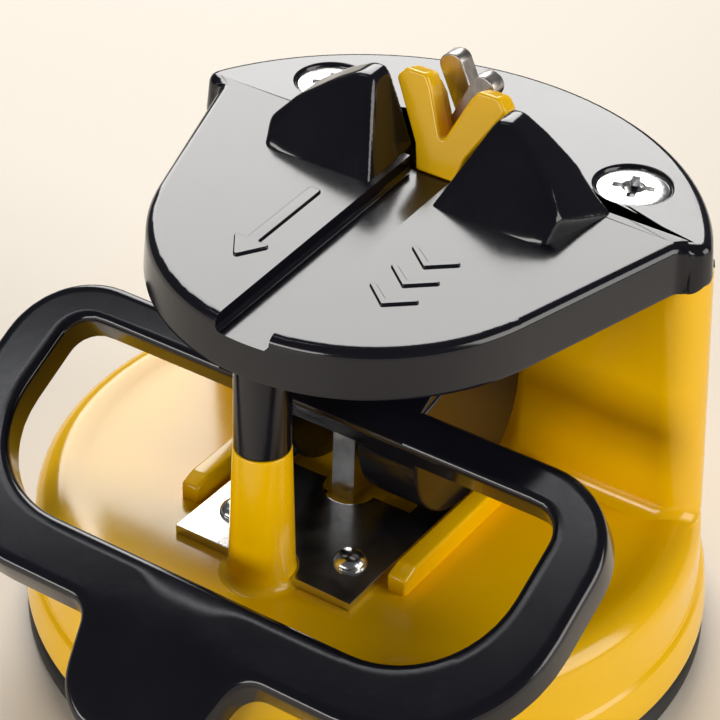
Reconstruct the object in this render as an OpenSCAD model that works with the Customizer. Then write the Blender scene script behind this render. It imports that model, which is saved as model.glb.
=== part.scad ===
// Suction-base knife sharpener: round moulded base on a rubber suction cup, a cap with a
// pull-through sharpening slot, and an over-centre loop lever that draws the cup up.
// Origin: centre of the cup's rim on the surface it stands on. +Z up, -Y front, +X right.

/* [Base] */
// Outer diameter of the skirt at its lower edge
base_d = 60; // [59.4:0.2:61]
// Height of the skirt's lower edge above the surface
skirt_z = 2.6; // [2.2:0.1:3]
// Height of the floor
floor_z = 12.4; // [12:0.1:13]
// Thickness of the moulded walls
shell_t = 1.8; // [1.4:0.1:2.2]
// Y of the flat front of the column that carries the cap
column_y = 9.5; // [9.2:0.1:9.7]

/* [Cap] */
// Height of the flat rear part of the cap
cap_top_z = 39.7; // [39:0.1:41]
// Radius of the rear part of the cap
cap_r = 27.2; // [26.8:0.1:27.5]
// Depth of the cap's rear skirt
cap_skirt_h = 3.6; // [3.4:0.1:4]
// Y of the crease where the canopy starts to fall towards the front
ridge_y = 10.1; // [9.5:0.1:10.5]
// Angle by which the canopy falls towards the front
canopy_fall_a = 3.1; // [2:0.1:4]
// Depth of the canopy's skirt
canopy_h = 4.4; // [4:0.1:4.8]
// Radius of the canopy's round front
canopy_r = 18.6; // [18:0.1:19]
// Width of the blade channel in the canopy
channel_w = 5; // [4.8:0.1:5.4]
// Height of the ears above the cap
ear_h = 6.6; // [6:0.1:7]

/* [Post] */
// Distance of the front post from the centre
post_y = 16; // [15.5:0.1:16.5]
// Height of the joint between the base's post and the cap's peg
post_seam_z = 25.3; // [22:0.1:26]

/* [Lever] */
// Angle of the loop lever when it is locked down
lever_a = 28; // [27:0.5:29]
// Height at which the lever's upper face would meet the Z axis
lever_z = 30.7; // [30.5:0.1:30.9]
// Thickness of the loop
lever_t = 3.2; // [2.8:0.1:3.3]
// Radius of the cam cheeks
cam_r = 8.1; // [7.9:0.1:8.2]
// Half width of the lever's hub
hub_w = 9.3; // [9:0.1:9.3]
// Radius of the hinge pin
pin_r = 1.3; // [1.2:0.05:1.5]

/* [Suction cup] */
// Radius of the cup's rim where it touches the surface
cup_r = 29.8; // [29:0.1:30]

/* [Hidden] */
$fn = 96;
over = 1;                                 // overshoot of cutting tools
yellow = "#ffc400";
black = "#22242b";
steel = "#b9bcc2";

skirt_top_r = base_d / 2 - 1.1;           // skirt radius where it turns over into the floor
shoulder_r = 2.4;                         // rounding between skirt and floor
step_z = 6.5;                             // small step round the skirt
wall_y = -0.6;                            // the column's axis lies a little forward
wall_t = 1.9;
column_corner_r = 3.5;
wall_top_z = cap_top_z - cap_skirt_h;
wall_foot_r = skirt_top_r + 0.1;
wall_top_r = cap_r + 0.5;
cap_t = 2.2;                              // thickness of the cap's top
post_r = 2.35;
post_foot_r = 2.8;
screw_x = 15;
screw_y = 15.2;
head_r = 3.12;
shank_r = 1.4;
pocket_r = head_r + 0.25;
pocket_d = 1.1;
boss_r = 2.9;
rib_x = 9.6;
rib_w = 1.8;
rib_h = 2.1;
rib_front_y = -12;
rib_back_y = 6;
plate_t = 0.8;
plate_z = floor_z + plate_t;
plate_w = 17.6;
plate_front_y = -16.1;
plate_back_y = 8;
plate_arm_w = 2.6;                        // width of the two strips that the cams run on
rivet_x = 5.8;
rivet_y = -11.6;
rivet_r = 1.45;
rivet_h = 1;
cam_gap = 0.5;                            // under the cam when locked, taken up by rubber
cam_y = 0.6;
cam_z = plate_z + cam_gap + cam_r;
pin_y = cam_y - 0.8;                      // the pin sits off the cam's centre
pin_z = cam_z + 3.5;
pin_fit = 0.06;                           // running clearance of the lever on the pin
stem_t = 2.2;
stem_w = 8;
slot_fit = 0.4;
cheek_in = 3.4;                           // inner face of each cam cheek
neck_w = hub_w - 0.15;
spacer_r = 3;
insert_r = 9;
insert_t = 1.2;
insert_z = 6.4;
blade_t = 1.7;
blade_w = 2.3;
blade_corner_r = 1;
blade_len = 14;
blade_a = 25;                             // lean of each blade to its side
blade_x = [2.4, 2.65];                      // right blade, left blade
blade_z = [46.6, 46.7];
blade_y = [12.9, 14.7];                   // the right blade stands in front of the left one
guide_a = 15;                             // backward lean of the guide and the blades
guide_y = 8.7;
guide_z = 39.4;
carrier_y = column_y + wall_t + 0.2;      // the blades' carrier hangs behind the column's front
carrier_back_y = carrier_y + 4.4;
ear_in = channel_w / 2;
channel_d = 1.3;

// a point at distance s along the lever's upper face, measured from the Z axis
module on_lever() {
    translate([0, 0, lever_z]) rotate([lever_a, 0, 0]) children();
}

// lays the canopy's plane down from the crease
module on_canopy() {
    translate([0, ridge_y, cap_top_z]) rotate([canopy_fall_a, 0, 0])
        translate([0, -ridge_y, 0]) children();
}

module ring(r_out, r_in, h) {
    difference() {
        cylinder(r = r_out, h = h);
        translate([0, 0, -over]) cylinder(r = r_in, h = h + 2 * over);
    }
}

// ---- base body -------------------------------------------------------------------------

function arc(cx, cy, r, a0, a1, n = 8) =
    [for (i = [0:n]) let (a = a0 + (a1 - a0) * i / n) [cx + r * cos(a), cy + r * sin(a)]];

module base_shell() {
    inner_r = skirt_top_r - shell_t;
    rotate_extrude() polygon(concat(
        [[0, floor_z - shell_t], [inner_r - shoulder_r, floor_z - shell_t],
         [inner_r, floor_z - shell_t - shoulder_r], [base_d / 2 - shell_t, skirt_z],
         [base_d / 2, skirt_z], [base_d / 2 - 0.1, skirt_z + 1.4],
         [base_d / 2 - 0.4, step_z - 0.6], [skirt_top_r + 0.2, step_z]],
        arc(skirt_top_r - shoulder_r, floor_z - shoulder_r, shoulder_r, 0, 90),
        [[0, floor_z]]));
}

// D-shaped plan of the column behind the lever, straight at the front
module column_outline(inset = 0) {
    offset(r = column_corner_r - inset) offset(delta = -column_corner_r) intersection() {
        translate([0, wall_y]) circle(r = wall_foot_r);
        translate([-base_d, column_y]) square(2 * base_d);
    }
}

// the column's body, narrowing upwards
module column_body(inset, z0, z1) {
    draft = (wall_foot_r - wall_top_r) / (wall_top_z - floor_z);
    intersection() {
        translate([0, wall_y, 0]) rotate_extrude() polygon([[0, z0],
            [wall_foot_r - inset - (z0 - floor_z) * draft, z0],
            [wall_foot_r - inset - (z1 - floor_z) * draft, z1], [0, z1]]);
        translate([0, 0, z0]) linear_extrude(z1 - z0) column_outline(inset);
    }
}

module floor_rib(side) {
    x = side > 0 ? rib_x : -rib_x - rib_w;
    translate([x, 0, floor_z - 0.5]) rotate([90, 0, 90]) linear_extrude(rib_w)
        polygon([[rib_front_y, 0], [rib_back_y, 0], [rib_back_y, rib_h + 0.5],
            [rib_front_y + 1.6, rib_h + 0.5], [rib_front_y, rib_h - 0.3]]);
}

module screw_boss(side) {
    translate([side * screw_x, screw_y, floor_z - 0.5])
        cylinder(r = boss_r, h = wall_top_z - floor_z + 0.5);
}

module base_body() {
    color(yellow) difference() {
        union() {
            base_shell();
            difference() {
                column_body(0, floor_z - shoulder_r + 0.3, wall_top_z);
                column_body(wall_t, floor_z, wall_top_z + over);
            }
            for (side = [-1, 1]) {
                floor_rib(side);
                screw_boss(side);
            }
            translate([0, -post_y, floor_z - 0.5])
                cylinder(r1 = post_foot_r, r2 = post_r, h = post_seam_z - floor_z + 0.5);
            // sleeve that guides the stem
            translate([-stem_t / 2 - 2, pin_y - stem_w / 2 - 1.4, floor_z - 4])
                cube([stem_t + 4, stem_w + 2.8, 4]);
        }
        translate([-stem_t / 2 - slot_fit, pin_y - stem_w / 2 - slot_fit, floor_z - 6])
            cube([stem_t + 2 * slot_fit, stem_w + 2 * slot_fit, 8]);
        for (side = [-1, 1]) translate([side * screw_x, screw_y, wall_top_z - 7])
            cylinder(r = shank_r + 0.05, h = 7 + over);
        // socket for the cap's peg
        translate([0, -post_y, post_seam_z - 5]) cylinder(r = 1.4, h = 5 + over);
        for (side = [-1, 1]) translate([side * rivet_x, rivet_y, floor_z - shell_t - over])
            cylinder(r = 0.8, h = shell_t + 2 * over);
    }
}

// ---- top cap ---------------------------------------------------------------------------

module rear_outline(inset = 0) {
    intersection() {
        translate([0, wall_y]) circle(r = cap_r - inset);
        translate([-cap_r, ridge_y - 1.1 + inset]) square([2 * cap_r, cap_r]);
    }
}

module canopy_outline(inset = 0) {
    back_y = ridge_y - 0.9 - inset;
    intersection() {
        hull() {
            translate([0, -0.4]) circle(r = canopy_r - inset);
            translate([-22.4 + inset, back_y - 0.9]) square([44.8 - 2 * inset, 0.9]);
        }
        translate([-base_d, back_y - base_d]) square([2 * base_d, base_d]);
    }
}

// one ear: a side profile across X cut back along a sloping front
module ear(side) {
    top = ear_h;
    slope_y = ridge_y - 2.7;
    intersection() {
        linear_extrude(cap_top_z + 2 * ear_h) mirror([side > 0 ? 0 : 1, 0])
            polygon([[0, 3.7], [2.5, 3.7], [10.6, 2.7], [13, 3], [14.1, 4.6], [15.9, ridge_y],
                [15.9, 2 * ridge_y], [0, 2 * ridge_y]]);
        translate([0, ridge_y + 0.1, cap_top_z - 1]) rotate([90, 0, 0]) linear_extrude(9)
            mirror([side > 0 ? 0 : 1, 0]) polygon([[ear_in, 0], [ear_in + 3.2, top + 0.5],
                [ear_in + 4, top + 1], [7.6, top + 1], [9.6, top - 0.1], [11.2, top - 1.2],
                [12.6, top - 2.6], [13.7, top - 4.2], [14.7, top - 5.2], [16, top - 5.8],
                [16, 0]]);
        translate([-20, 0, 0]) rotate([90, 0, 90]) linear_extrude(40)
            polygon([[2.2, cap_top_z - 1.2], [slope_y, cap_top_z + ear_h],
                [slope_y + 0.4, cap_top_z + ear_h + 1], [ridge_y + 2, cap_top_z + ear_h + 1],
                [ridge_y + 2, cap_top_z - 1.2]]);
    }
}

// raised arrow that points in the pull direction
module arrow_outline() {
    polygon([[-0.6, 0], [0.6, 0], [0.6, -8.7], [1.85, -8.7], [0, -11.5], [-1.85, -8.7],
        [-0.6, -8.7]]);
}

// raised chevrons that repeat the pull direction
module chevron_outline() {
    polygon([[-2.6, 1.5], [-1.7, 1.5], [0, 0.3], [1.7, 1.5], [2.6, 1.5], [0, -0.6]]);
}

module top_cap() {
    color(black) difference() {
        union() {
            difference() {
                union() {
                    translate([0, 0, wall_top_z]) linear_extrude(cap_skirt_h) rear_outline();
                    on_canopy() translate([0, 0, -canopy_h])
                        linear_extrude(canopy_h) canopy_outline();
                }
                // hollow under the top
                translate([0, 0, wall_top_z - over])
                    linear_extrude(cap_skirt_h - cap_t + over) rear_outline(wall_t);
                on_canopy() translate([0, 0, -canopy_h - over])
                    linear_extrude(canopy_h - cap_t + over) canopy_outline(1.8);
            }
            for (side = [-1, 1]) {
                ear(side);
                translate([side * screw_x, screw_y, wall_top_z])
                    cylinder(r = boss_r + 1.1, h = cap_skirt_h - cap_t + 0.5);
            }
            translate([0, -post_y, post_seam_z])
                cylinder(r = post_r + 0.05, h = cap_top_z - cap_t - post_seam_z - 1);
            translate([0, -post_y, post_seam_z - 4.5]) cylinder(r = 1.35, h = 5);
            on_canopy() {
                translate([-6.1, -0.2, -0.2]) linear_extrude(0.4) arrow_outline();
                for (i = [0:2]) translate([7.3, -4 - 3 * i, -0.2])
                    linear_extrude(0.4) chevron_outline();
            }
        }
        // blade channel down the middle of the canopy
        on_canopy() translate([-channel_w / 2, -base_d / 2, -channel_d])
            cube([channel_w, base_d / 2 + 8.4, channel_d + over]);
        // opening for the guide and the blades
        translate([-3.4, guide_y - 0.3, cap_top_z - 5]) cube([6.8, 8, 10]);
        for (side = [-1, 1]) translate([side * screw_x, screw_y, 0]) {
            translate([0, 0, cap_top_z - pocket_d]) cylinder(r = pocket_r, h = 3);
            translate([0, 0, wall_top_z - over]) cylinder(r = shank_r + 0.2, h = 6);
        }
    }
}

// ---- sharpening slot -------------------------------------------------------------------

// leans its children back about the guide's foot
module leaning() {
    translate([0, guide_y, guide_z]) rotate([-guide_a, 0, 0]) children();
}

// V-shaped wall seen from the front, foot at the origin
module guide_outline(inset = 0) {
    top = 7.2 - inset;
    out = ear_in - 0.15;
    polygon([[-out + 0.4, -1], [out - 0.4, -1], [out, 1], [out + 2.6, top - 1],
        [out + 1.9, top], [2.6, top], [1.9 + inset, top - 0.8], [0, 1.9],
        [-1.9 - inset, top - 0.8], [-2.6, top], [-out - 1.9, top], [-out - 2.6, top - 1],
        [-out, 1]]);
}

module v_guide() {
    color(yellow) difference() {
        union() {
            leaning() {
                translate([0, 2, 0]) rotate([90, 0, 0]) linear_extrude(2) guide_outline();
                translate([0, 3.2, 0]) rotate([90, 0, 0]) linear_extrude(1)
                    guide_outline(0.9);
                translate([-2.6, 1, -0.6]) cube([5.2, 2, 1.6]);
            }
            // carrier block that holds the blades' lower ends under the cap
            translate([-3.1, guide_y, wall_top_z + 0.2]) cube([6.2, carrier_back_y - guide_y, 3]);
            translate([-7, carrier_y, wall_top_z - 3.4])
                cube([14, carrier_back_y - carrier_y, 4.2]);
        }
        for (side = [-1, 1]) blade_shape(side, 0.06);
    }
}

// flat carbide bar with rounded corners, leaning to its side
module blade_shape(side, extra = 0) {
    i = side > 0 ? 0 : 1;
    translate([side * blade_x[i], blade_y[i] + blade_t / 2 + extra, blade_z[i]])
        rotate([0, side * blade_a, 0]) rotate([90, 0, 0])
            linear_extrude(blade_t + 2 * extra) offset(r = blade_corner_r + extra)
                translate([blade_corner_r - blade_w / 2, blade_corner_r - blade_len])
                    square([blade_w - 2 * blade_corner_r, blade_len - 2 * blade_corner_r]);
}

module blade(side) {
    color(steel) blade_shape(side);
}

// ---- fasteners -------------------------------------------------------------------------

module cap_screw(side) {
    top = cap_top_z - 0.3;
    color(steel) translate([side * screw_x, screw_y, 0]) difference() {
        union() {
            translate([0, 0, cap_top_z - pocket_d]) cylinder(r = head_r, h = 0.4);
            translate([0, 0, cap_top_z - pocket_d + 0.4])
                cylinder(r1 = head_r, r2 = head_r - 0.35, h = top - cap_top_z + pocket_d - 0.4);
            translate([0, 0, wall_top_z - 6]) cylinder(r = shank_r, h = 9);
        }
        for (a = [20, 110]) translate([0, 0, top]) rotate([0, 0, a])
            cube([3.4, 0.8, 1.2], center = true);
    }
}

module rivet(side) {
    sphere_r = (rivet_r * rivet_r + rivet_h * rivet_h) / (2 * rivet_h);
    color(steel) translate([side * rivet_x, rivet_y, plate_z]) {
        intersection() {
            translate([0, 0, rivet_h - sphere_r]) sphere(r = sphere_r);
            cylinder(r = rivet_r, h = rivet_h + over);
        }
        translate([0, 0, -plate_t - shell_t]) cylinder(r = 0.75, h = plate_t + shell_t);
    }
}

// ---- wear plate ------------------------------------------------------------------------

module wear_plate() {
    inner = plate_w / 2 - plate_arm_w;
    color(steel) translate([0, 0, floor_z]) difference() {
        translate([-plate_w / 2, plate_front_y, 0])
            cube([plate_w, plate_back_y - plate_front_y, plate_t]);
        translate([-inner, -3.2, -over]) cube([2 * inner, 20, plate_t + 2 * over]);
        translate([0.2, -3.3, -over]) cylinder(r = 2.3, h = plate_t + 2 * over);
        translate([0, -post_y, -over]) cylinder(r = post_foot_r + 0.2, h = plate_t + 2 * over);
        translate([-post_foot_r - 0.2, -post_y - 5, -over])
            cube([2 * post_foot_r + 0.4, 5, plate_t + 2 * over]);
        for (side = [-1, 1]) translate([side * rivet_x, rivet_y, -over])
            cylinder(r = 0.8, h = plate_t + 2 * over);
    }
}

// ---- suction cup and stem --------------------------------------------------------------

module suction_cup() {
    color("#17181c") rotate_extrude() polygon([[0, 3.4], [12, 3.1], [21, 1.7], [26.6, 0],
        [cup_r, 0], [cup_r + 0.2, 0.7], [cup_r - 0.4, skirt_z - 0.1], [27.6, skirt_z - 0.1],
        [22, 4.3], [14, 6.2], [insert_r + 2, insert_z + insert_t], [insert_r + 0.1,
        insert_z + insert_t], [insert_r + 0.1, insert_z - 0.05], [0, insert_z - 0.05]]);
}

module cup_insert() {
    color(steel) translate([0, 0, insert_z]) ring(insert_r, 1.2, insert_t);
}

module stem() {
    foot_z = insert_z + insert_t;
    color(steel) difference() {
        union() {
            translate([-stem_t / 2, pin_y - stem_w / 2, foot_z])
                cube([stem_t, stem_w, pin_z - foot_z]);
            translate([-stem_t / 2, pin_y, pin_z]) rotate([0, 90, 0])
                cylinder(r = stem_w / 2, h = stem_t);
            translate([-3.2, pin_y - stem_w / 2 + 0.5, foot_z])
                cube([6.4, stem_w - 1, 0.6]);
            translate([0, 0, foot_z - 1.1]) cylinder(r = 1.1, h = 1.2);
        }
        translate([-over - stem_t / 2, pin_y, pin_z]) rotate([0, 90, 0])
            cylinder(r = pin_r + 0.02, h = stem_t + 2 * over);
    }
}

module hinge_pin() {
    color(steel) translate([-hub_w + 0.5, pin_y, pin_z]) rotate([0, 90, 0])
        cylinder(r = pin_r, h = 2 * hub_w - 1);
}

module spacer(side) {
    w = cheek_in - 0.3 - stem_t / 2;
    x = side > 0 ? stem_t / 2 : -stem_t / 2 - w;
    color(steel) translate([x, pin_y, pin_z]) rotate([0, 90, 0])
        ring(spacer_r, pin_r + 0.02, w);
}

// ---- lever -----------------------------------------------------------------------------

module loop_outline() {
    difference() {
        union() {
            hull() for (side = [-1, 1]) {
                translate([side * 21.5, -15.1]) circle(r = 7.5);
                translate([side * 16, -20.8]) circle(r = 13);
            }
            hull() {
                translate([0, -38]) circle(r = 4.4);
                translate([-7.2, -34.4]) square([14.4, 4]);
            }
        }
        hull() for (side = [-1, 1]) {
            translate([side * 21.5, -13.7]) circle(r = 2.5);
            translate([side * 14.5, -18.8]) circle(r = 9.5);
        }
    }
}

module lever() {
    neck_front = -9;
    // where the cams' centre lies along the lever's upper face
    cam_s = cam_y * cos(lever_a) + (cam_z - lever_z) * sin(lever_a);
    color(black) difference() {
        union() {
            on_lever() translate([0, 0, -lever_t]) linear_extrude(lever_t) {
                loop_outline();
                // neck from the rear bar to the cams
                translate([-neck_w, neck_front]) square([2 * neck_w, cam_s - neck_front]);
            }
            translate([-hub_w, cam_y, cam_z]) rotate([0, 90, 0])
                cylinder(r = cam_r, h = 2 * hub_w);
        }
        // gap for the stem between the cheeks
        translate([-cheek_in, pin_y - stem_w / 2 - 1.6, cam_z - 2 * cam_r])
            cube([2 * cheek_in, 3 * cam_r, 5 * cam_r]);
        translate([-hub_w - over, pin_y, pin_z]) rotate([0, 90, 0])
            cylinder(r = pin_r + pin_fit, h = 2 * (hub_w + over));
    }
}

base_body();
top_cap();
v_guide();
blade(-1);  // blade_left
blade(1);  // blade_right
cap_screw(-1);  // cap_screw_left
cap_screw(1);  // cap_screw_right
wear_plate();
rivet(-1);  // rivet_left
rivet(1);  // rivet_right
suction_cup();
cup_insert();
stem();
hinge_pin();
spacer(-1);  // spacer_left
spacer(1);  // spacer_right
lever();
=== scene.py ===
import bpy, bmesh, math
from mathutils import Matrix, Vector


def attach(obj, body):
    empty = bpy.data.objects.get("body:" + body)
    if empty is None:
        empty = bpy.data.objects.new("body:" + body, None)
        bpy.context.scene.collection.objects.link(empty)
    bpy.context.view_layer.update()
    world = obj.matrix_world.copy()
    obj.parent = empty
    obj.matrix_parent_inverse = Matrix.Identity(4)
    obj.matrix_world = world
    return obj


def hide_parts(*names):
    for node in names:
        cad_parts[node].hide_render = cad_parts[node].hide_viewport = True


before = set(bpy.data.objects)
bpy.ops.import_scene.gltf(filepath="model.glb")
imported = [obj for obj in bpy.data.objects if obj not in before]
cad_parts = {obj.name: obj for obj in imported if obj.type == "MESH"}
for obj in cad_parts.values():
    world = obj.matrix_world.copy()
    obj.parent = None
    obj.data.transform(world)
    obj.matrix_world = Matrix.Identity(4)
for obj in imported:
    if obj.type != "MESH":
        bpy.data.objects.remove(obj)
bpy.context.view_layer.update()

# ---- Camera, table and studio light -------------------------------------------------------
# The sharpener stands on a pale cream table. Wide soft lights hang behind it on the left,
# on its right and low in front of it, and a narrow strip of light hangs above the lever.
camera_place = (0.09275, -0.14588, 0.14389)
azimuth, elevation, tilt = math.radians(32.83), math.radians(34.63), math.radians(1.859)
cream = (0.86, 0.79, 0.69, 1)

bpy.ops.object.camera_add(location=camera_place)
camera = bpy.context.object
backward = Vector((math.sin(azimuth) * math.cos(elevation),
                   -math.cos(azimuth) * math.cos(elevation), math.sin(elevation)))
across = (-backward).cross(Vector((0, 0, 1))).normalized()
upward = across.cross(-backward)
side_axis = across * math.cos(tilt) + upward * math.sin(tilt)
top_axis = upward * math.cos(tilt) - across * math.sin(tilt)
camera.matrix_world = (Matrix.Translation(camera.location)
                       @ Matrix((side_axis, top_axis, backward)).transposed().to_4x4())
camera.data.lens = 125
camera.data.sensor_width = 36
camera.data.clip_start = 0.01
bpy.context.scene.camera = camera
bpy.context.scene.view_settings.view_transform = "Standard"

bpy.ops.mesh.primitive_plane_add(size=6, location=(0, 0, 0))
table = bpy.context.object
table.name = "table_top"
table_look = bpy.data.materials.new("cream_table")
table_look.use_nodes = True
table_shader = table_look.node_tree.nodes["Principled BSDF"]
table_shader.inputs["Base Color"].default_value = cream
table_shader.inputs["Roughness"].default_value = 0.55
table.data.materials.append(table_look)


def soft_light(name, direction, distance, width, height, power, tone):
    aim = Vector(direction).normalized()
    bpy.ops.object.light_add(type="AREA", location=aim * distance + Vector((0, 0, 0.02)))
    lamp = bpy.context.object
    lamp.name = name
    lamp.data.shape = "RECTANGLE"
    lamp.data.size, lamp.data.size_y = width, height
    lamp.data.energy = power
    lamp.data.color = tone
    lamp.rotation_euler = aim.to_track_quat("Z", "Y").to_euler()


soft_light("back_light", (-0.50, 0.62, 0.60), 1.0, 0.62, 0.6, 8.5, (1.0, 0.985, 0.96))
soft_light("right_light", (0.9, 0.15, 0.42), 1.1, 0.8, 0.7, 8, (1.0, 0.97, 0.92))
soft_light("front_light", (-0.25, -0.9, 0.22), 1.3, 1.2, 0.3, 9, (1.0, 0.97, 0.93))
soft_light("strip_light", (-0.44, -0.13, 0.89), 1.0, 0.05, 0.5, 0.3, (0.97, 0.98, 1.0))
world = bpy.context.scene.world or bpy.data.worlds.new("studio")
bpy.context.scene.world = world
world.use_nodes = True
sky = world.node_tree.nodes["Background"]
sky.inputs["Color"].default_value = (0.90, 0.93, 1.0, 1)
sky.inputs["Strength"].default_value = 0.09

# ---- Suction cup --------------------------------------------------------------------------
# A turned disc of soft black rubber with a thin lip that seals on the table. It is moulded
# in one piece and clipped under the base; a steel washer lies in its back.


class Value:
    """One socket of a shader, so that sums of sockets read as sums."""

    def __init__(self, finish, socket):
        self.finish, self.socket = finish, socket

    def work(self, operation, first, second):
        return self.finish.add("Math", {"operation": operation}, {0: first, 1: second})

    def __add__(self, other):
        return self.work("ADD", self, other)

    def __mul__(self, other):
        return self.work("MULTIPLY", self, other)

    def __pow__(self, other):
        return self.work("POWER", self, other)

    __radd__, __rmul__ = __add__, __mul__


class Finish:
    """A material of one surface shader, whose even values are set on the shader itself."""

    def __init__(self, name, **even):
        self.material = bpy.data.materials.new(name)
        self.material.use_nodes = True
        self.nodes = self.material.node_tree.nodes
        self.shader = self.nodes["Principled BSDF"]
        for socket, value in even.items():
            self.shader.inputs[socket.replace("_", " ")].default_value = value
        self.place = self.add("TexCoord", {}, {}, "Object")

    def add(self, kind, settings, sockets, output=0):
        made = self.nodes.new("ShaderNode" + kind)
        for name, value in settings.items():
            setattr(made, name, value)
        for name, value in sockets.items():
            self.feed(made.inputs[name], value)
        return Value(self, made.outputs[output])

    def feed(self, socket, value):
        if isinstance(value, Value):
            self.material.node_tree.links.new(value.socket, socket)
        else:
            socket.default_value = value

    def grain(self, size_mm, detail=3, stretch=(1, 1, 1)):
        laid = self.add("Mapping", {}, {"Vector": self.place, "Scale": stretch})
        return self.add("TexNoise", {}, {"Vector": laid, "Scale": 1000 / size_mm, "Detail": detail})

    def tint(self, amount, first, second):
        return self.add("Mix", {"data_type": "RGBA"}, {0: amount, 6: first, 7: second}, 2)

    def relief(self, height, depth_mm, strength=1.0):
        self.feed(self.shader.inputs["Normal"], self.add(
            "Bump", {}, {"Strength": strength, "Distance": depth_mm / 1000, "Height": height}))

    def surface(self, **varied):
        for socket, value in varied.items():
            self.feed(self.shader.inputs[socket.replace("_", " ")], value)
        return self.material


def alone():
    if bpy.context.mode != "OBJECT":
        bpy.ops.object.mode_set(mode="OBJECT")
    bpy.ops.object.select_all(action="DESELECT")


def chosen(piece):
    alone()
    piece.select_set(True)
    bpy.context.view_layer.objects.active = piece


def drawn_out(name, loops, filled=True):
    """Extrudes a ring of points from loop to loop, all in millimetres."""
    alone()
    bpy.ops.mesh.primitive_circle_add(vertices=len(loops[0]), radius=0.001,
                                      fill_type="NGON" if filled else "NOTHING")
    piece = bpy.context.object
    piece.name = name
    for vertex, point in zip(piece.data.vertices, loops[0]):
        vertex.co = Vector(point) / 1000
    order = list(range(len(loops[0])))
    bpy.ops.object.mode_set(mode="EDIT")
    bpy.ops.mesh.select_all(action="SELECT")
    for loop in loops[1:]:
        bpy.ops.mesh.extrude_region_move()
        shape = bmesh.from_edit_mesh(piece.data)
        shape.verts.ensure_lookup_table()
        fresh = []
        for index in order:
            old = shape.verts[index]
            fresh.append([e.other_vert(old) for e in old.link_edges if e.other_vert(old).select][0])
        shape.verts.index_update()
        for vertex, point in zip(fresh, loop):
            vertex.co = Vector(point) / 1000
        order = [vertex.index for vertex in fresh]
        bmesh.update_edit_mesh(piece.data)
    bpy.ops.mesh.select_all(action="SELECT")
    bpy.ops.mesh.remove_doubles(threshold=0.000002)
    bpy.ops.mesh.normals_make_consistent(inside=False)
    bpy.ops.object.mode_set(mode="OBJECT")
    piece.matrix_world = Matrix.Identity(4)
    return piece


def turned(name, profile, centre=(0, 0), around=128):
    """Draws circles out along a profile of (radius, height)."""
    angles = [2 * math.pi * i / around for i in range(around)]
    return drawn_out(name, [[(centre[0] + r * math.cos(a), centre[1] + r * math.sin(a), z)
                             for a in angles] for r, z in profile])


def hand(side):
    return "left" if side < 0 else "right"


def modified(piece, kind, **settings):
    chosen(piece)
    step = piece.modifiers.new("step", kind)
    for name, value in settings.items():
        setattr(step, name, value)
    bpy.ops.object.modifier_apply(modifier=step.name)


def settled(piece, look, body, crease=38, replaced=()):
    """Smooths a finished piece, gives it its material and joins it to its body."""
    chosen(piece)
    bpy.ops.object.shade_smooth_by_angle(angle=math.radians(crease))
    modified(piece, "WEIGHTED_NORMAL", keep_sharp=True, weight=80)
    piece.data.materials.clear()
    piece.data.materials.append(look)
    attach(piece, body)
    if replaced:
        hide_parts(*replaced)


rubber = Finish("black_rubber", Roughness=0.5, Metallic=0.0)
bloom = rubber.grain(6, 4)
rubber.relief(rubber.grain(0.25, 2), 0.03, 0.5)
rubber_look = rubber.surface(
    Base_Color=rubber.tint(bloom, (0.010, 0.010, 0.011, 1), (0.022, 0.021, 0.021, 1)),
    Roughness=0.36 + 0.22 * bloom)
cup = turned("suction_cup_rubber", [
    (6, 3.35), (12, 3.1), (21, 1.7), (26.4, 0.1), (27, 0.0), (29.5, 0.0), (29.85, 0.15), (29.98, 0.5),
    (29.9, 0.85), (29.6, 1.2), (29.3, 1.45), (29.35, 1.7), (29.3, 2.3), (29.0, 2.5), (27.6, 2.5),
    (22, 4.3), (14, 6.2), (11, 7.6), (9.1, 7.6), (9.1, 6.35), (2, 6.35)])
settled(cup, rubber_look, "base", 40, ("suction_cup",))

# ---- Base ---------------------------------------------------------------------------------
# One glossy yellow moulding: a round skirt with a stepped edge, a floor, and a hollow
# column behind with a straight front that carries the cap. All edges are softly rounded.
post_at = (0, -16)
floor_z = 12.4
column_front, column_draft = 9.5, 0.06
front_squared, corner_room = 102, 0.3
skirt_radius = 29.05


def arc(cx, cy, r, start, end, count):
    return [(cx + r * math.cos(math.radians(start + (end - start) * i / count)),
             cy + r * math.sin(math.radians(start + (end - start) * i / count))) for i in range(count + 1)]


def rounded(corners):
    """An outline through (x, y, radius) corners, each turned with its own radius."""
    outline = []
    for i, (x, y, r) in enumerate(corners):
        here = Vector((x, y))
        before = (Vector(corners[i - 1][:2]) - here).normalized()
        after = (Vector(corners[(i + 1) % len(corners)][:2]) - here).normalized()
        if r == 0:
            outline.append((x, y))
            continue
        half = math.acos(max(-1, min(1, before.dot(after)))) / 2
        middle = here + (before + after).normalized() * (r / math.sin(half))
        first = here + before * (r / math.tan(half)) - middle
        swing = math.pi - 2 * half
        if before.cross(after) > 0:
            swing = -swing
        count = max(3, int(abs(swing) / math.radians(9)) + 1)
        for step in range(count + 1):
            turn = Matrix.Rotation(swing * step / count, 2)
            outline.append(tuple(middle + turn @ first))
    return outline


def shrunk(outline, inset):
    """The same outline moved inwards, for an outline that runs anticlockwise."""
    moved = []
    for i, point in enumerate(outline):
        here = Vector(point)
        before = here - Vector(outline[i - 1])
        after = Vector(outline[(i + 1) % len(outline)]) - here
        first = Vector((before.y, -before.x)).normalized()
        second = Vector((after.y, -after.x)).normalized()
        outward = (first + second).normalized()
        moved.append(tuple(here - outward * inset / max(0.5, outward.dot(first))))
    return moved


def upright(u, v, height):
    return (u, v, height)


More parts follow.
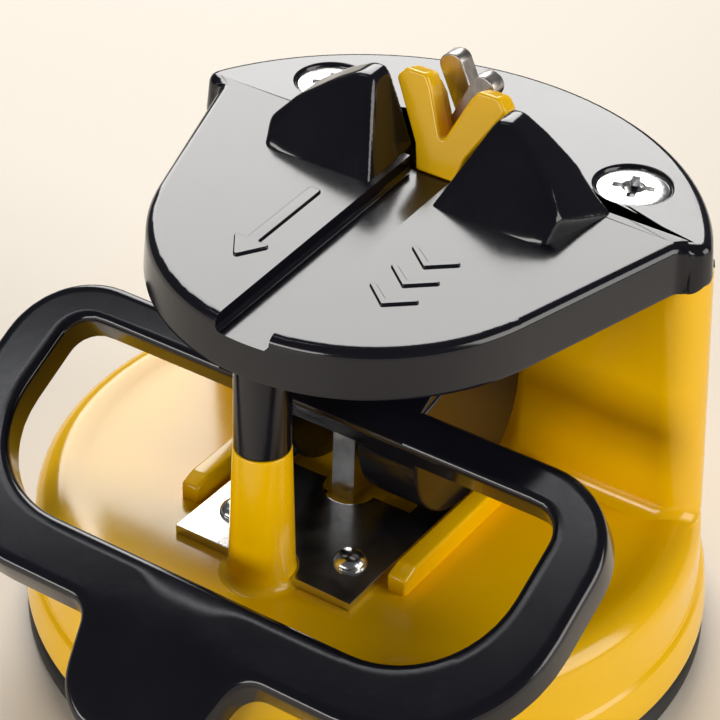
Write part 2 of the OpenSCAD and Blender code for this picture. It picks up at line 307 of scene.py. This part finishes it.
def layered(name, outline, levels, put=upright):
    """Draws an outline out through levels of (height, inset); put turns it to its place."""
    return drawn_out(name, [[put(u, v, height) for u, v in shrunk(outline, inset)]
                            for height, inset in levels])


yellow = Finish("yellow_moulded_plastic", Metallic=0.0, IOR=1.5)
flow = yellow.grain(22, 2)
handled = yellow.grain(1.6, 5)
yellow.relief(yellow.grain(3.5, 2) * 0.7 + yellow.grain(0.35, 2) * 0.3, 0.02, 0.35)
yellow_look = yellow.surface(
    Base_Color=yellow.tint(flow, (0.98, 0.53, 0.0, 1), (1.0, 0.60, 0.0, 1)),
    Roughness=0.14 + 0.12 * handled ** 2)

shoulder = arc(26.3, 10.15, 2.6, 0, 90, 10)
skirt = turned("base_skirt", [(24, 10.6), (26.6, 8.2), (28.2, 3.0), (28.3, 2.65), (29.7, 2.6), (29.93, 2.7),
                              (29.98, 2.95), (29.9, 4.0), (29.62, 5.75), (29.45, 6.1), (29.2, 6.28),
                              (29.08, 6.5), (skirt_radius, 8.0)] + shoulder +
               [(25.6, 12.7), (24.9, 12.55), (24.2, 12.42), (23, 12.38)], around=160)
settled(skirt, yellow_look, "base", 50, ("base_body",))


def column_loop(z, grow, inset=0.0):
    """The column's outline at a height; grow widens its foot towards the front."""
    r = skirt_radius - (z - floor_z) * column_draft if z > floor_z else skirt_radius
    reach = math.sqrt(r * r - front_squared) + corner_room
    front = [(-reach, column_front - grow, 2.8), (reach, column_front - grow, 2.8)]
    back = [(x, y, 0) for x, y in arc(0, -0.6, r, 31, 149, 72)]
    return [(x, y, z) for x, y in shrunk(rounded(front + back), inset)]


column = drawn_out("base_column", [column_loop(z, grow) for z, grow in (
    (10.6, 0.2), (12.3, 1.3), (12.42, 0.95), (12.62, 0.6), (12.95, 0.3), (13.4, 0.1), (14.0, 0.0), (24, 0.0))]
    + [column_loop(35.7, 0.0), column_loop(35.95, 0.0, 0.08), column_loop(36.05, 0.0, 0.3)])
settled(column, yellow_look, "base", 50)

rib_outline = rounded([(-12, 11.6, 0), (6, 11.6, 0), (6, 14.5, 0.4), (-10.4, 14.5, 0.9), (-12, 14.0, 0.5)])
for side in (-1, 1):
    rib = layered("floor_rib_" + hand(side), rib_outline,
                  [(0, 0.35), (0.08, 0.14), (0.3, 0), (1.5, 0), (1.72, 0.14), (1.8, 0.35)],
                  lambda u, v, h: (side * (9.6 + h), u, v))
    settled(rib, yellow_look, "base", 50)

post = turned("front_post", [(3.9, 12.3), (3.45, 12.42), (3.1, 12.7), (2.9, 13.1), (2.8, 13.7), (2.42, 25.0),
                             (2.38, 25.2), (2.3, 25.28)], centre=post_at, around=64)
settled(post, yellow_look, "base", 50)

sleeve = layered("stem_sleeve", rounded([(-3.1, -5.6, 1), (3.1, -5.6, 1), (3.1, 5.2, 1), (-3.1, 5.2, 1)]),
                 [(8.6, 0), (12.2, 0), (12.45, 0.1), (12.5, 0.3), (12.5, 1.6), (11.2, 1.7)])
settled(sleeve, yellow_look, "base", 50)

# ---- Wear plate and rivets ----------------------------------------------------------------
# A stamped plate of zinc-plated steel, on which the lever's cams run. It is cut out round
# the post and the stem, and two domed rivets hold it to the floor.
rivet_x, rivet_y = 5.8, -11.6

zinc = Finish("zinc_plated_steel", Metallic=1.0)
rolled = zinc.grain(0.5, 3, (1, 0.06, 1))
spangle = zinc.grain(2.2, 4)
zinc.relief(rolled * 0.6 + zinc.grain(0.2, 3) * 0.4, 0.02, 0.5)
zinc_look = zinc.surface(Base_Color=zinc.tint(spangle, (0.62, 0.62, 0.63, 1), (0.86, 0.86, 0.85, 1)),
                         Roughness=0.10 + 0.22 * spangle)

plate_outline = ([(-8.8, -16.1), (-3.0, -16.1)] + arc(*post_at, 3.0, 180, 0, 24)[1:-1]
                 + [(3.0, -16.1), (8.8, -16.1), (8.8, 8), (6.2, 8), (6.2, -3.2), (2.5, -3.2)]
                 + arc(0.2, -3.3, 2.3, 0, -180, 24) + [(-2.2, -3.2), (-6.2, -3.2), (-6.2, 8), (-8.8, 8)])
plate = layered("wear_plate_stamped", plate_outline,
                [(floor_z, 0.05), (12.5, 0), (13.1, 0), (13.17, 0.03), (13.2, 0.1)])
settled(plate, zinc_look, "base", 30, ("wear_plate",))

for side in (-1, 1):
    rivet = turned("rivet_dome_" + hand(side),
                   [(1.45, 13.15), (1.46, 13.3), (1.40, 13.5), (1.25, 13.72), (1.0, 13.93), (0.7, 14.07),
                    (0.35, 14.15), (0.1, 14.17)], centre=(side * rivet_x, rivet_y), around=48)
    settled(rivet, zinc_look, "base", 60, ("rivet_" + hand(side),))

# ---- Cap ----------------------------------------------------------------------------------
# Glossy black moulding: a half-round rear part, screwed to the column, and a canopy that
# falls gently to the front, with a channel that guides the knife. Its top edge is rounded.
cap_top, skirt_start = 39.7, -3
canopy_drop, drop_start, drop_length = 0.8, 9.9, 0.9
crease, canopy_fall = 0.0101, math.tan(math.radians(3.1))
screw_x, screw_y = 15, 15.2
mark_levels = [(39.5, 0), (39.78, 0), (39.86, 0.05)]

black = Finish("black_moulded_plastic", Metallic=0.0, IOR=1.52)
haze = black.grain(7, 4)
dust = black.grain(0.5, 2)
black.relief(black.grain(2.4, 2) * 0.7 + black.grain(0.3, 2) * 0.3, 0.012, 0.4)
black_look = black.surface(Base_Color=black.tint(haze, (0.004, 0.004, 0.007, 1), (0.008, 0.008, 0.013, 1)),
                           Roughness=0.10 + 0.10 * haze ** 2 + 0.05 * dust)

cap_outline = (arc(0, -0.4, 18.6, -162, -18, 96)
               + rounded([(17.7, -6.1, 0), (22.7, 9.25, 1.2), (25.36, 9.25, 1.3)]
                         + [(x, y, 0) for x, y in arc(0, -0.6, 27.2, 27, 153, 110)]
                         + [(-25.36, 9.25, 1.3), (-22.7, 9.25, 1.2), (-17.7, -6.1, 0)])[1:-1])


def fallen(piece):
    """Lowers everything in front of the cap's crease, so that the canopy slopes."""
    for vertex in piece.data.vertices:
        vertex.co.z -= max(0.0, crease - vertex.co.y) * canopy_fall
    piece.data.update()


def cap_loop(height, inset):
    """The cap's outline at a height under its top; the canopy's lower edge hangs deeper."""
    deeper = canopy_drop if height <= skirt_start else 0
    return [(x, y, height - deeper * max(0, min(1, (drop_start - y) / drop_length)))
            for x, y in shrunk(cap_outline, inset)]


cap_loops = [[(x, y, z + cap_top) for x, y, z in cap_loop(height, inset)] for height, inset in (
    (-3.6, 0.6), (-3.6, 0.05), (-3.5, -0.16), (-3.1, -0.22), (-1.0, 0.0), (-0.62, 0.05), (-0.32, 0.2),
    (-0.1, 0.48), (0.0, 0.9))]
cap = drawn_out("cap_shell", cap_loops)


def cut(piece, tool):
    modified(piece, "BOOLEAN", operation="DIFFERENCE", object=tool, solver="MANIFOLD")
    alone()
    tool.select_set(True)
    bpy.ops.object.delete()


def block(name, low, high):
    alone()
    bpy.ops.mesh.primitive_cube_add(size=1, location=[(a + b) / 2000 for a, b in zip(low, high)])
    made = bpy.context.object
    made.name = name
    made.data.transform(Matrix.Translation(made.location) @ Matrix.Diagonal(
        [(b - a) / 1000 for a, b in zip(low, high)] + [1]))
    made.matrix_world = Matrix.Identity(4)
    return made


channel_outline = rounded([(-2.5, 0, 0.45), (2.5, 0, 0.45), (2.5, 3, 0), (-2.5, 3, 0)])
cut(cap, layered("channel_tool", channel_outline, [(-40, 0), (8.6, 0)], lambda u, v, h: (u, h, v + 38.4)))
cut(cap, block("guide_tool", (-3.4, 8.4, 30), (3.4, 16.2, 45)))
hollow_outline = arc(0, -0.4, 16.8, -162, -18, 48) + [(20.2, 7.6), (-20.2, 7.6)]
for outline in (hollow_outline, arc(0, -0.6, 25.3, 26, 154, 48)):
    cut(cap, layered("hollow_tool", outline, [(30, 0), (37.5, 0)]))
recess = [(3.05, 38.6), (3.1, 39.0), (3.16, 39.4), (3.3, 39.6), (3.55, 39.72), (3.7, 41)]
for side in (-1, 1):
    cut(cap, turned("recess_tool", recess, centre=(side * screw_x, screw_y), around=64))

# Flat faces are merged, and the top is split along the crease before the canopy is lowered.
chosen(cap)
bpy.ops.object.mode_set(mode="EDIT")
bpy.ops.mesh.select_all(action="SELECT")
bpy.ops.mesh.dissolve_limited(angle_limit=math.radians(0.4))
bpy.ops.mesh.select_all(action="SELECT")
bpy.ops.mesh.bisect(plane_co=(0, crease, 0), plane_no=(0, 1, 0))
bpy.ops.object.mode_set(mode="OBJECT")
fallen(cap)
settled(cap, black_look, "base", 35, ("top_cap",))

peg = turned("cap_peg", [(2.2, 25.3), (2.33, 25.36), (2.36, 25.5), (2.36, 36.4), (2.2, 36.6)],
             centre=post_at, around=64)
settled(peg, black_look, "base", 50)

arrow_outline = rounded([(-6.65, -0.2, 0.3), (-6.65, -9.0, 0.1), (-7.9, -9.0, 0.25), (-6.05, -11.7, 0.3),
                         (-4.2, -9.0, 0.25), (-5.45, -9.0, 0.1), (-5.45, -0.2, 0.3)])
arrow = layered("pull_arrow", arrow_outline, mark_levels + [(39.9, 0.14)])
fallen(arrow)
settled(arrow, black_look, "base", 50)
for step in range(3):
    low = -4.2 - 3 * step
    chevron = layered("pull_chevron_" + str(step + 1),
                      rounded([(4.7, low + 1.5, 0.2), (7.3, low - 0.6, 0.2), (9.9, low + 1.5, 0.2),
                               (9.0, low + 1.5, 0.15), (7.3, low + 0.25, 0.15), (5.6, low + 1.5, 0.15)]),
                      mark_levels + [(39.9, 0.12)])
    fallen(chevron)
    settled(chevron, black_look, "base", 50)

# ---- Ears of the cap ----------------------------------------------------------------------
# Two wedges that rise on either side of the slot and guard the fingers. They are moulded
# with the cap; their fronts slope like ramps and every edge is well rounded.
ear_front, ear_back = 0.5, 10.3
voxel, smoothings = 0.00022, 26
ear_profile = [(2.55, 38.2), (15.9, 38.2), (15.9, 39.75), (14.4, 40.85), (13.3, 42.1), (12.3, 43.2),
               (9.5, 45.1), (7.3, 46.25), (6.1, 46.2), (5.7, 45.6)]
for side in (-1, 1):
    ear = drawn_out("cap_ear_" + hand(side),
                    [[(side * x, y, z) for x, z in ear_profile] for y in (ear_front, ear_back)])
    chosen(ear)
    bpy.ops.object.mode_set(mode="EDIT")
    for point, normal in (((0, 0.0029, 0.03935), (0, -0.826, 0.563)),
                          ((side * 0.0136, 0.003, 0), (side * 0.956, -0.292, 0)),
                          ((side * 0.0106, 0.0027, 0), (side * 0.09, -1, 0))):
        bpy.ops.mesh.select_all(action="SELECT")
        bpy.ops.mesh.bisect(plane_co=point, plane_no=normal, use_fill=True, clear_outer=True)
    bpy.ops.mesh.select_all(action="SELECT")
    bpy.ops.mesh.remove_doubles(threshold=0.00002)
    bpy.ops.mesh.dissolve_limited(angle_limit=math.radians(2))
    bpy.ops.mesh.select_all(action="SELECT")
    bpy.ops.mesh.normals_make_consistent(inside=False)
    bpy.ops.object.mode_set(mode="OBJECT")
    modified(ear, "REMESH", mode="VOXEL", voxel_size=voxel)
    modified(ear, "SMOOTH", factor=0.5, iterations=smoothings)
    settled(ear, black_look, "base", 60)

# ---- Knife guide and blades ---------------------------------------------------------------
# A yellow V stands in the slot and leans back. Behind it two flat carbide bars cross; they
# are ground bright, with rounded tops, and stand in a yellow carrier under the cap.
lean, slant = math.radians(15), math.radians(25)


def on_guide(u, v, h):
    return (u, 8.6 + h * math.cos(lean) + v * math.sin(lean), 39.4 + v * math.cos(lean) - h * math.sin(lean))


guide_outline = rounded([(-1.9, -1, 0.3), (1.9, -1, 0.3), (2.45, 1.2, 0.8), (5.35, 6.2, 0.5), (4.5, 7.2, 0.7),
                         (2.5, 7.2, 0.6), (1.9, 6.3, 0.4), (0, 2.0, 0.25), (-1.9, 6.3, 0.4), (-2.5, 7.2, 0.6),
                         (-4.5, 7.2, 0.7), (-5.35, 6.2, 0.5), (-2.45, 1.2, 0.8)])
guide = layered("guide_front_wall", guide_outline,
                [(0, 0.3), (0.06, 0.12), (0.25, 0), (1.7, 0), (1.95, 0.1), (2.02, 0.28)], on_guide)
settled(guide, yellow_look, "base", 50, ("v_guide",))
rear_outline = rounded([(-2.2, -1, 0.3), (2.2, -1, 0.3), (2.5, 1.2, 0.6), (4.5, 5.4, 0.5), (4.0, 6.3, 0.5),
                        (2.7, 6.3, 0.5), (1.9, 5.4, 0.5), (0, 1.6, 0.25), (-1.9, 5.4, 0.5), (-2.7, 6.3, 0.5),
                        (-4.0, 6.3, 0.5), (-4.5, 5.4, 0.5), (-2.5, 1.2, 0.6)])
rear_wall = layered("guide_rear_wall", rear_outline,
                    [(1.9, 0.1), (2.1, 0), (3.0, 0), (3.2, 0.1), (3.28, 0.3)], on_guide)
settled(rear_wall, yellow_look, "base", 50)
carrier = layered("blade_carrier", rounded([(-7, 11.6, 0.4), (7, 11.6, 0.4), (7, 16, 0.4), (-7, 16, 0.4)]),
                  [(32.7, 0.2), (32.9, 0), (36.9, 0)])
settled(carrier, yellow_look, "base", 50)

carbide = Finish("ground_carbide", Metallic=1.0)
scored = carbide.grain(0.35, 4, (1, 1, 0.12))
carbide.relief(scored, 0.03, 0.5)
carbide_look = carbide.surface(Base_Color=carbide.tint(scored, (0.30, 0.27, 0.25, 1), (0.62, 0.59, 0.56, 1)),
                               Roughness=0.22 + 0.25 * carbide.grain(1.2, 3))
for side, top_x, front_y, top_z in ((1, 2.4, 12.05, 46.6), (-1, 2.65, 13.85, 46.7)):
    def on_blade(u, v, h):
        return (side * (top_x + u * math.cos(slant) + v * math.sin(slant)), front_y + h,
                top_z - u * math.sin(slant) + v * math.cos(slant))

    bar = layered("blade_bar_" + hand(side),
                  rounded([(-1.15, -13.9, 0.3), (1.15, -13.9, 0.3), (1.15, 0, 1.0), (-1.15, 0, 1.0)]),
                  [(0, 0.12), (0.04, 0.04), (0.12, 0), (1.58, 0), (1.66, 0.04), (1.7, 0.12)], on_blade)
    settled(bar, carbide_look, "base", 40, ("blade_" + hand(side),))

# ---- Cap screws ---------------------------------------------------------------------------
# Two zinc-plated screws with flat heads and a cross slot, sunk in round recesses.
slot_outline = rounded([(-1.75, -0.36, 0.1), (1.75, -0.36, 0.1), (1.75, 0.36, 0.1), (-1.75, 0.36, 0.1)])
head_profile = [(1.4, 30), (1.4, 38.2), (2.9, 38.55), (3.05, 38.8), (3.08, 39.2), (3.0, 39.36), (2.8, 39.43),
                (2.2, 39.47), (1.2, 39.5), (0.4, 39.51)]
for side, turn in ((-1, 28), (1, 20)):
    screw_at = (side * screw_x, screw_y)
    head = turned("cap_screw_head_" + hand(side), head_profile, centre=screw_at, around=64)
    for quarter in (0, 90):
        wing = layered("cross_tool", slot_outline, [(38.5, 0.14), (39.7, -0.06)],
                       lambda u, v, h, a=math.radians(turn + quarter): (
                           screw_at[0] + u * math.cos(a) - v * math.sin(a),
                           screw_at[1] + u * math.sin(a) + v * math.cos(a), h))
        cut(head, wing)
    cut(head, turned("pit_tool", [(0.3, 38.3), (1.0, 39.0), (1.1, 39.8)], centre=screw_at, around=24))
    settled(head, zinc_look, "base", 35, ("cap_screw_" + hand(side),))

# ---- Lever --------------------------------------------------------------------------------
# Glossy black loop lever of one moulding: a wide loop with a thumb tab that curves down,
# and a hub of two round cams that turn on a steel pin and press on the wear plate.
slope, lever_z, lever_t = math.radians(28), 30.7, 3.2
loop_middle, loop_points = (0, -20), 300
tab_start, tab_length, tab_drop = -33.0, 9.4, 2.2
top_round, under_round = 0.65, 0.35


def on_lever(x, s, h):
    return (x, s * math.cos(slope) - h * math.sin(slope), lever_z + s * math.sin(slope) + h * math.cos(slope))


def spread(outline):
    """The outline's points at even angles about the middle of the loop."""
    middle = Vector(loop_middle)
    points = []
    for i in range(loop_points):
        a = 2 * math.pi * i / loop_points
        direction = Vector((math.cos(a), math.sin(a)))
        best = None
        for j, first in enumerate(outline):
            p = Vector(first) - middle
            q = Vector(outline[(j + 1) % len(outline)]) - middle
            bottom = direction.cross(q - p)
            if abs(bottom) > 1e-12:
                along, share = p.cross(q - p) / bottom, p.cross(direction) / bottom
                if along > 0 and -1e-9 <= share <= 1 + 1e-9 and (best is None or along > best):
                    best = along
        points.append(tuple(middle + direction * best))
    return points


loop_outer = spread(rounded([(-29, -7.6, 7.5), (-29, -33.8, 13), (-7.4, -33.8, 2.0), (-5.6, -42.4, 4.8),
                             (5.8, -42.4, 4.8), (7.8, -33.8, 2.4), (29, -33.8, 13), (29, -7.6, 7.5)]))
loop_inner = spread(rounded([(-24, -11.2, 2.5), (-24, -28.3, 9.5), (24, -28.3, 9.5), (24, -11.2, 2.5)]))


def loop_at(share, height, out=0.0, into=0.0):
    """A ring of the loop, from its inner edge (share 0) to its outer edge (share 1)."""
    ring = []
    for (ax, ay), (bx, by) in zip(shrunk(loop_inner, -into), shrunk(loop_outer, out)):
        x, s = ax + (bx - ax) * share, ay + (by - ay) * share
        drop = tab_drop * max(0.0, (tab_start - s) / tab_length) ** 1.6
        ring.append(on_lever(x, s, height - drop))
    return ring


section = [loop_at(0, height, into=into) for height, into in (
    (-lever_t, under_round), (-3.05, 0.1), (-0.65, 0.0), (-0.4, 0.06), (-0.19, 0.19), (-0.06, 0.4),
    (0, top_round))]
section += [loop_at(share, 0, top_round, top_round) for share in (0.15, 0.3, 0.45, 0.6, 0.75, 0.88)]
section += [loop_at(1, height, out=out) for height, out in (
    (0, top_round), (-0.06, 0.4), (-0.19, 0.19), (-0.4, 0.06), (-0.65, 0.0), (-2.9, -0.12), (-3.15, 0.05),
    (-lever_t, under_round))]
section += [loop_at(share, -lever_t, under_round, under_round) for share in (0.75, 0.5, 0.25)]
section.append(section[0])
loop = drawn_out("lever_loop", section, filled=False)
settled(loop, black_look, "lever", 50, ("lever",))

for side in (-1, 1):
    cheek_outline = rounded([(x, y, 0) for x, y in arc(0.6, 21.8, 8.1, -180, 64, 80)]
                            + [(-7.7, 26.6, 0), (-9.5, 25.4, 0.4), (-8.0, 22.5, 0.5)])
    cheek = layered("lever_cam_" + hand(side), cheek_outline,
                    [(3.4, 0.25), (3.48, 0.08), (3.65, 0), (9.0, 0), (9.22, 0.08), (9.3, 0.25)],
                    lambda u, v, h: (side * h, u, v))
    settled(cheek, black_look, "lever", 50)
neck_outline = rounded([(-9.1, -11.0, 0), (9.1, -11.0, 0), (9.1, -3.7, 0), (3.45, -3.7, 0),
                        (3.45, -7.4, 0.4), (-3.45, -7.4, 0.4), (-3.45, -3.7, 0), (-9.1, -3.7, 0)])
neck = layered("lever_neck", neck_outline,
               [(-3.15, 0.1), (-3.0, 0), (-0.25, 0), (-0.06, 0.06), (-0.02, 0.2)], on_lever)
settled(neck, black_look, "lever", 50)

# ---- Stem, washer, pin and spacers --------------------------------------------------------
# Zinc-plated steel strip, washer, pin and tubes: the pin joins the lever to the strip, and
# the strip's foot is held by the washer in the middle of the rubber cup.
for node in ("stem", "cup_insert", "spacer_left", "spacer_right", "hinge_pin"):
    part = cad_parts[node]
    part.data.materials.clear()
    part.data.materials.append(zinc_look)
